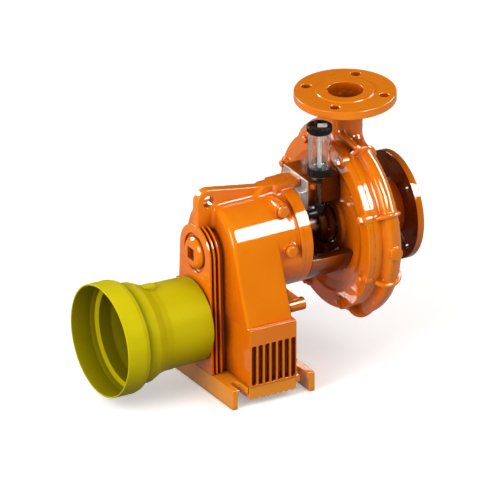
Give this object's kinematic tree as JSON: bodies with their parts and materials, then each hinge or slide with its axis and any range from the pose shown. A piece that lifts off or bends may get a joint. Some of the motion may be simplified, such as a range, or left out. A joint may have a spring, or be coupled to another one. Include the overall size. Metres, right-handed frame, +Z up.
{
  "type": "centrifugal slurry pump",
  "caption": "Horizontal centrifugal slurry pump with a spiral casing, flanged suction and discharge, and a finned speed-increasing gearbox driven by a guarded splined shaft.",
  "frame": {"origin": "middle of the front foot's underside, on the floor", "axes": "+X from the drive end to the suction flange, +Z up along the discharge, +Y to the right seen from the drive end"},
  "size_m": [0.616, 0.3616, 0.507],
  "materials": {
    "orange_paint": "glossy enamel over cast iron",
    "guard_yellow": "satin moulded plastic",
    "black_plastic": "semi-gloss",
    "clear_plastic": "clear",
    "steel": "machined"
  },
  "bodies": {
    "root": {"bracket_flange": "orange_paint", "bracket_lower_arm": "orange_paint", "bracket_top_arm": "orange_paint", "casing_cover": "orange_paint", "discharge_flange": "orange_paint", "drain_stub": "orange_paint", "drive_collar": "orange_paint", "drive_guard": "guard_yellow", "drive_shaft": "steel", "flinger_ring": "black_plastic", "front_foot": "orange_paint", "front_plate": "orange_paint", "gearbox_flange": "orange_paint", "gearbox_housing": "orange_paint", "gland_follower": "orange_paint", "guard_latch": "guard_yellow", "impeller": "steel", "impeller_nut": "steel", "lifting_web": "orange_paint", "oil_filler_plug": "orange_paint", "oil_level_plug": "orange_paint", "oil_sump": "orange_paint", "oiler_base": "black_plastic", "oiler_cap": "black_plastic", "oiler_elbow": "black_plastic", "oiler_glass": "clear_plastic", "oiler_nipple": "black_plastic", "oiler_pipe": "steel", "oiler_rod": "steel", "pump_shaft": "steel", "rear_foot": "orange_paint", "shaft_plug": "orange_paint", "stuffing_sleeve": "steel", "suction_cover": "orange_paint", "suction_flange": "orange_paint", "volute_casing": "orange_paint"}
  },
  "joints": []
}
